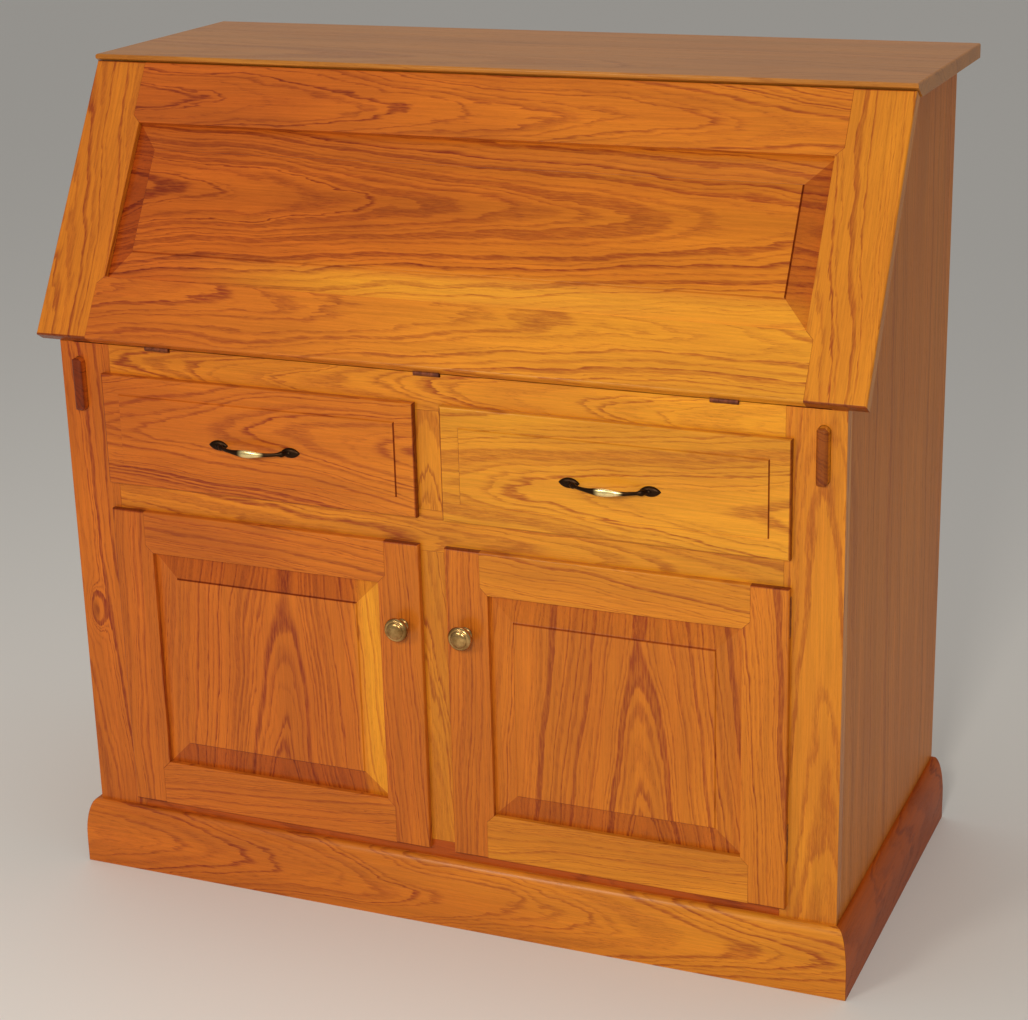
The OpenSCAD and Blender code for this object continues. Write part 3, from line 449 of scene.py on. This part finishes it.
WELD_GAP = 0.01 * MM
FLAT_WITHIN = math.radians(0.5)
EDGE_FROM = math.radians(35)
BOARD_EASE = 0.35 * MM
METAL_EASE = 0.2 * MM


def ease_edges(o, width, faceted=False):
    """Takes the keen edge off a CAD piece, as sanding does, without touching its mesh."""
    weld = o.modifiers.new("weld", "WELD")
    weld.merge_threshold = WELD_GAP
    flat = o.modifiers.new("flat", "DECIMATE")
    flat.decimate_type = "DISSOLVE"
    flat.angle_limit = FLAT_WITHIN
    bevel = o.modifiers.new("ease", "BEVEL")
    bevel.width = width
    bevel.segments = 2
    bevel.limit_method = "ANGLE"
    bevel.angle_limit = EDGE_FROM
    bevel.use_clamp_overlap = True
    if not faceted:
        o.data.shade_smooth()
        normals = o.modifiers.new("normals", "WEIGHTED_NORMAL")
        normals.keep_sharp = True


for i, name in enumerate(sorted(BOARDS)):
    dress_board(name, 1.0 + i * 1.7)
    ease_edges(NODES[name], BOARD_EASE, faceted=name.endswith("_panel"))


# ---- Metals ----------------------------------------------------------------------------


def metal(name, bright, dark, patina, roughness, scale=90.0, band=None, bare=1.0):
    """Metal with patina in soft patches.

    A band is a painted highlight, bright near one x and dark away from it. Bare is how metallic it
    looks: less under a lacquer.
    """
    m = bpy.data.materials.new(name)
    m.use_nodes = True
    t = m.node_tree
    bsdf = t.nodes["Principled BSDF"]
    bsdf.inputs["Metallic"].default_value = bare
    where = t.nodes.new("ShaderNodeTexCoord").outputs["Object"]
    cloud = noise(t, where, scale, 4.0, 0.6)
    fine = noise(t, where, scale * 14, 2.0, 0.5)
    cover = smooth_range(t, cloud, 0.62 - 0.5 * patina, 0.95 - 0.5 * patina)
    # painted highlight: the band's middle shows the bright colour, its surroundings the dark one
    if band is not None:
        centre, half = band
        split = t.nodes.new("ShaderNodeSeparateXYZ")
        link(t, where, split.inputs[0])
        away = math_node(t, "ABSOLUTE", math_node(t, "SUBTRACT", split.outputs[0], centre))
        past_highlight = smooth_range(t, away, half * 0.6, half * 1.25)
        cover = math_node(t, "MAXIMUM", math_node(t, "MULTIPLY", cover, 0.35), past_highlight)
    colour = mix_colour(t, cover, bright, dark)
    link(t, colour, bsdf.inputs["Base Color"])
    rough = math_node(t, "MULTIPLY_ADD", cover, 0.12, roughness)
    link(t, math_node(t, "MULTIPLY_ADD", fine, 0.08, rough), bsdf.inputs["Roughness"])
    bump = t.nodes.new("ShaderNodeBump")
    bump.inputs["Strength"].default_value = 0.15
    bump.inputs["Distance"].default_value = 0.0002
    link(t, fine, bump.inputs["Height"])
    link(t, bump.outputs[0], bsdf.inputs["Normal"])
    return m


KNOB_BRASS = metal("knob_brass", srgb(204, 164, 104), srgb(132, 96, 52), 0.5, 0.16, scale=40.0)
# partly a dark antique finish, partly painted shade: the lid hinges sit in the shade under the
# lid's edge
HINGE_BRASS = metal("hinge_brass", srgb(132, 66, 26), srgb(88, 36, 12), 0.6, 0.45, bare=0.3)
HINGE_BRONZE = metal("hinge_bronze", srgb(176, 104, 48), srgb(132, 68, 30), 0.5, 0.5, bare=0.2)
STEEL = metal("zinc_steel", srgb(200, 202, 206), srgb(150, 152, 156), 0.4, 0.35)

for name, m in (("lid_hinge_case_leaves", HINGE_BRASS), ("lid_hinge_leaves", HINGE_BRASS),
                ("door_hinge_frame_leaves", HINGE_BRONZE),
                ("door_left_hinge_leaves", HINGE_BRONZE),
                ("door_right_hinge_leaves", HINGE_BRONZE),
                ("shelf_pins", STEEL), ("door_catches", STEEL),
                ("door_left_strike", STEEL), ("door_right_strike", STEEL)):
    o = NODES[name]
    o.data.materials.clear()
    o.data.materials.append(m)
    ease_edges(o, METAL_EASE)


# ---- Mesh builders ---------------------------------------------------------------------


def mesh_piece(name, verts, faces, material, body, replaces, at=None):
    """A mesh that rides on a body; at turns and moves it into the desk's frame."""
    me = bpy.data.meshes.new(name)
    me.from_pydata([tuple(v) for v in verts], [], faces)
    me.validate()
    me.shade_smooth()
    me.materials.append(material)
    o = bpy.data.objects.new(name, me)
    bpy.context.scene.collection.objects.link(o)
    if at is not None:
        me.transform(at)
    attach(o, body)
    if replaces:
        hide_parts(*replaces)
    return o


def join(parts):
    """One vertex and face list from several."""
    verts, faces = [], []
    for v, f in parts:
        start = len(verts)
        verts += v
        faces += [tuple(i + start for i in face) for face in f]
    return verts, faces


# how near its axis a turned outline starts, in mm
AXIS_GAP = 0.05


def tube(rings):
    """A closed skin through rings of equal point count, with its two ends filled."""
    n = len(rings[0])
    verts = [Vector(p) for r in rings for p in r]
    faces = []
    for i in range(len(rings) - 1):
        for k in range(n):
            a, b = i * n + k, i * n + (k + 1) % n
            faces.append((a, b, b + n, a + n))
    last = (len(rings) - 1) * n
    faces.append(tuple(reversed(range(n))))
    faces.append(tuple(range(last, last + n)))
    return verts, faces


def lathe(profile, steps=48):
    """A turned solid about Z from (radius, height) points that start and end near the axis."""
    angles = [2 * math.pi * k / steps for k in range(steps)]
    return tube([[(r * math.cos(a), r * math.sin(a), h) for a in angles] for r, h in profile])


def arc(cx, cy, rx, ry, start, end, steps):
    """Points of an elliptical arc, in degrees."""
    return [(cx + rx * math.cos(math.radians(start + (end - start) * i / steps)),
             cy + ry * math.sin(math.radians(start + (end - start) * i / steps)))
            for i in range(steps + 1)]


def scaled(points):
    """Millimetres to metres."""
    return [(a * MM, b * MM) for a, b in points]


def facing(place, outward):
    """A placement whose local Z points outward from a place."""
    turn = Vector(outward).to_track_quat("Z", "Y").to_matrix().to_4x4()
    return Matrix.Translation(place) @ turn


# ---- Pulls and knobs -------------------------------------------------------------------


def leaf_foot():
    """A domed, pointed leaf that a pull's post stands on: X along it, Z out of the drawer."""
    steps, rim = 22, 18
    length, half_width, dome = 13.5 * MM, 6.6 * MM, 3.4 * MM
    rings = []
    for i in range(steps + 1):
        s = -1 + 2 * i / steps
        s = math.copysign(min(abs(s), 0.995), s)
        width = half_width * (1 - abs(s) ** 2.1) ** 0.85
        height = dome * (1 - abs(s) ** 2.2) ** 0.7 + 0.35 * MM
        ring = [(s * length, width * math.cos(math.pi * k / rim),
                 height * math.sin(math.pi * k / rim) ** 0.8 + 0.0001) for k in range(rim + 1)]
        ring += [(s * length, -width, 0.0), (s * length, width, 0.0)]
        rings.append(ring)
    return tube(rings)


def bow(span, reach, rise):
    """The pull's bar: thin necks, a bead at each foot and a wide, flat middle."""
    steps, around = 64, 20
    rings = []
    for i in range(steps + 1):
        s = -1 + 2 * i / steps
        x = s * span / 2
        z = rise + (reach - rise) * (1 - abs(s) ** 2.4)
        slope = -(reach - rise) * 2.4 * abs(s) ** 1.4 * math.copysign(1, s) / (span / 2)
        along = Vector((1, 0, slope)).normalized()
        out = Vector((-along.z, 0, along.x))
        swell = math.exp(-(s / 0.34) ** 2)
        bead = math.exp(-((abs(s) - 0.86) / 0.055) ** 2)
        thick = (1.9 + 0.7 * swell + 1.5 * bead) * MM
        wide = (2.2 + 3.1 * swell + 1.9 * bead) * MM
        ring = []
        for k in range(around):
            a = 2 * math.pi * k / around
            p = Vector((x, 0, z)) + out * (thick * math.sin(a)) + Vector((0, wide * math.cos(a), 0))
            ring.append(p)
        rings.append(ring)
    return tube(rings)


def shifted(part, offset, turn=None):
    """A part turned, then moved."""
    verts, faces = part
    offset = Vector(offset)
    return [(turn @ v if turn else v) + offset for v in verts], faces


def panel_screw(radius, length, head, crown):
    """The screw of a pull or knob, in mm, from the front's face back to its domed head."""
    outline = [(AXIS_GAP, 0), (radius, 0), (radius, length), (head, length)]
    return lathe(scaled(outline + arc(0, length, head, crown, 0, 88, 6)), 20)


# turns a screw to point back through the front
BACKWARD = Matrix.Rotation(math.pi, 3, "X")


def build_pull(side):
    """A bowed pull on two leaf feet, with its screws through the drawer front."""
    low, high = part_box(f"drawer_{side}_pull")
    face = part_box(f"drawer_{side}_front")[0].y
    centre = Vector(((low.x + high.x) / 2, face, (low.z + high.z) / 2))
    reach = face - low.y
    half = 50 * MM
    parts = [bow(2 * half, reach - 2.7 * MM, 3.0 * MM)]
    screw = panel_screw(2, 21.5, 4.4, 2.8)
    post = lathe(scaled([(AXIS_GAP, 0), (4.6, 0), (4.4, 1.2), (3.4, 2.8), (3.0, 5.0),
                         (AXIS_GAP, 5.4)]), 24)
    for sign in (-1, 1):
        parts.append(shifted(leaf_foot(), (sign * (half + 1.0 * MM), 0, 0)))
        parts.append(shifted(post, (sign * half, 0, 0)))
        parts.append(shifted(screw, (sign * half, 0, 0), BACKWARD))
    verts, faces = join(parts)
    # painted highlight: a bright cream patch a little right of the bow's middle, dark metal
    # elsewhere
    m = metal(f"pull_bronze_{side}", srgb(250, 224, 158), srgb(50, 34, 22), 0.3, 0.22, 120.0,
              band=(centre.x + 6 * MM, 15 * MM))
    at = Matrix.Translation(centre) @ Matrix.Rotation(math.pi / 2, 4, "X")
    return mesh_piece(f"pull_{side}", verts, faces, m, f"drawer_{side}",
                      [f"drawer_{side}_pull"], at)


def build_knob(side):
    """A turned mushroom knob: flared foot, slim neck and a dished rim round a low dome."""
    low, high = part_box(f"door_{side}_knob")
    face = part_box(f"door_{side}_stiles")[0].y
    centre = Vector(((low.x + high.x) / 2, face, (low.z + high.z) / 2))
    r = (high.x - low.x) / 2 / MM
    tall = (face - low.y) / MM
    profile = ([(AXIS_GAP, 0), (9, 0), (9.2, 0.6), (9, 1.4), (7.6, 2.0), (6.4, 3.2), (5.8, 5.2)]
               + arc(14.6, 8.6, 8.8, 6.6, 180, 112, 8)
               + [(r - 1.2, 15.6), (r - 0.4, 16.4), (r, 17.6), (r - 0.2, 18.8), (r - 1.0, 20.0),
                  (r - 2.4, 21.2), (r - 3.2, 21.5), (r - 3.8, 21.2), (r - 4.4, 21.3)]
               + arc(0, 21.3, r - 5.0, tall - 21.3, 0, 89, 10))
    screw = shifted(panel_screw(2, 19, 4.4, 2.8), (0, 0, 0), BACKWARD)
    verts, faces = join([lathe(scaled(profile), 64), screw])
    return mesh_piece(f"knob_{side}", verts, faces, KNOB_BRASS, f"door_{side}",
                      [f"door_{side}_knob"], facing(centre, FRONT))


def build_gallery_knob():
    """The small round knob of the drawer behind the lid."""
    low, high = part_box("gallery_drawer_knob")
    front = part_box("gallery_drawer")[0].y
    centre = Vector((0, front, (low.z + high.z) / 2))
    r = (high.x - low.x) / 2 / MM
    profile = ([(AXIS_GAP, 0), (4.5, 0), (4.4, 0.8), (3.2, 1.8), (2.7, 3.6), (3.2, 5.6)]
               + arc(0, 10.4, r, 5.2, -48, 89, 14))
    screw = shifted(panel_screw(1.5, 12, 3.4, 1.9), (0, 0, 0), BACKWARD)
    verts, faces = join([lathe(scaled(profile), 40), screw])
    return mesh_piece("gallery_knob", verts, faces, KNOB_BRASS, "gallery_drawer",
                      ["gallery_drawer_knob"], facing(centre, FRONT))


HEAD_R = 2.9
HALF_SLOT = 0.42 * MM


def slotted_heads(name, places, outward, body, material):
    """Countersunk screw heads with a slot, set flush in a hinge leaf."""
    turn = facing((0, 0, 0), outward).to_3x3()
    cone = lathe(scaled([(AXIS_GAP, -0.9), (HEAD_R * 0.7, -0.9), (HEAD_R, 0.05),
                         (AXIS_GAP, 0.08)]), 20)
    # one side of the slot: an arc closed by the slot's straight edge
    rim = HEAD_R * MM
    slot_end = math.sqrt(rim ** 2 - HALF_SLOT ** 2)
    curve = [math.radians(-80 + 160 * k / 10) for k in range(11)]
    flat = [(HALF_SLOT, -slot_end)]
    flat += [(rim * math.cos(a), rim * math.sin(a)) for a in curve]
    flat += [(HALF_SLOT, slot_end)]
    parts = []
    for i, place in enumerate(places):
        spin = Matrix.Rotation(0.7 + i * 1.9, 3, "Z")
        parts.append(shifted(cone, place, turn))
        for sign in (-1, 1):
            half = tube([[Vector((sign * x, sign * y, h * MM)) for x, y in flat]
                         for h in (0.0, 0.28)])
            parts.append(shifted(half, place, turn @ spin))
    verts, faces = join(parts)
    o = mesh_piece(name, verts, faces, material, body, ())
    o.data.shade_flat()


for side in ("left", "right"):
    build_pull(side)
    build_knob(side)
build_gallery_knob()

# screws of the lid hinges, in the leaves that show when the lid is down
LID_HINGE_HALF = 17 * MM
LID_SCREW_STEP = 11 * MM
PIN_FORWARD = 1 * MM
case_low, case_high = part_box("lid_hinge_case_leaves")
outer_hinge = (case_high.x - case_low.x) / 2 - LID_HINGE_HALF
screw_xs = [x + dx for x in (-outer_hinge, 0.0, outer_hinge)
            for dx in (-LID_SCREW_STEP, LID_SCREW_STEP)]
face_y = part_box("stile_left")[0].y
pin = Vector((0, face_y - PIN_FORWARD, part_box("writing_bed")[1].z))
case_spots = [Vector((x, pin.y + LID_SCREW_STEP, pin.z)) for x in screw_xs]
slotted_heads("lid_hinge_case_screws", case_spots, Z, "case", HINGE_BRASS)
lid_spots = [Vector((x, pin.y, pin.z)) + Vector(UP_LID) * LID_SCREW_STEP for x in screw_xs]
slotted_heads("lid_hinge_screws", lid_spots, Vector(OUT_LID) * -1, "lid", HINGE_BRASS)

# screws of the door hinges: two in each of a door's two hinges
DOOR_SCREW_IN = 9 * MM
DOOR_SCREW_RISES = (12 * MM, 38 * MM)
for side, sign in (("left", -1), ("right", 1)):
    low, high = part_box(f"door_{side}_hinge_leaves")
    inner = low.x if sign > 0 else high.x
    rises = [low.z + up for up in DOOR_SCREW_RISES]
    rises += [high.z - down for down in reversed(DOOR_SCREW_RISES)]
    spots = [Vector((inner + sign * DOOR_SCREW_IN, high.y, z)) for z in rises]
    slotted_heads(f"door_{side}_hinge_screws", spots, Y, f"door_{side}", HINGE_BRONZE)


# ---- Stage, light and camera -----------------------------------------------------------


def build_stage():
    """A plain pale floor."""
    size = 12.0
    me = bpy.data.meshes.new("floor")
    me.from_pydata([(-size, -size, 0), (size, -size, 0), (size, size, 0), (-size, size, 0)], [],
                   [(0, 1, 2, 3)])
    o = bpy.data.objects.new("floor", me)
    bpy.context.scene.collection.objects.link(o)
    m = bpy.data.materials.new("pale_floor")
    m.use_nodes = True
    bsdf = m.node_tree.nodes["Principled BSDF"]
    bsdf.inputs["Base Color"].default_value = (0.8, 0.79, 0.77, 1)
    bsdf.inputs["Roughness"].default_value = 0.6
    me.materials.append(m)


def area_light(name, place, target, size, power, colour):
    """A square soft lamp that faces a target; size in metres, power in watts."""
    d = bpy.data.lights.new(name, "AREA")
    d.size = size
    d.energy = power
    d.color = colour
    o = bpy.data.objects.new(name, d)
    o.location = place
    o.rotation_euler = (Vector(target) - Vector(place)).to_track_quat("-Z", "Y").to_euler()
    bpy.context.scene.collection.objects.link(o)


LAMP_WHITE = (1.0, 0.93, 0.82)
SKY_WHITE = (1.0, 0.96, 0.9)


def build_light():
    """Two warm lamps in front, one soft one above, and a faint glow all round."""
    w = bpy.data.worlds.new("studio")
    bpy.context.scene.world = w
    w.use_nodes = True
    bg = w.node_tree.nodes["Background"]
    bg.inputs[0].default_value = (1.0, 0.97, 0.92, 1)
    bg.inputs[1].default_value = 0.36
    target = (0.05, 0.0, 0.55)
    area_light("key", (0.75, -2.65, 1.7), target, 0.4, 31, LAMP_WHITE)
    area_light("left", (-0.85, -2.6, 1.6), target, 0.6, 16.5, LAMP_WHITE)
    area_light("top", (-0.2, 0.2, 3.2), (0, 0, 0.9), 1.8, 14, SKY_WHITE)


def build_camera():
    """The viewpoint: right of the desk, above it and turned a little about its own axis."""
    azimuth, elevation, roll = (math.radians(v) for v in (23.13, 19.13, -1.53))
    place = Vector((1.1437, -2.4214 + face_y, 1.4931))
    back = Vector((math.sin(azimuth) * math.cos(elevation),
                   -math.cos(azimuth) * math.cos(elevation), math.sin(elevation)))
    right = Vector((math.cos(azimuth), math.sin(azimuth), 0))
    up = back.cross(right)
    c, s = math.cos(roll), math.sin(roll)
    turned = Matrix((right * c + up * s, up * c - right * s, back)).transposed()
    d = bpy.data.cameras.new("camera")
    sensor, focal, picture = 36, 2303.1, 1028
    d.sensor_width = sensor
    d.lens = sensor * focal / picture
    o = bpy.data.objects.new("camera", d)
    o.matrix_world = Matrix.Translation(place) @ turned.to_4x4()
    bpy.context.scene.collection.objects.link(o)
    bpy.context.scene.camera = o


build_stage()
build_light()
build_camera()
bpy.context.scene.view_settings.view_transform = "Standard"
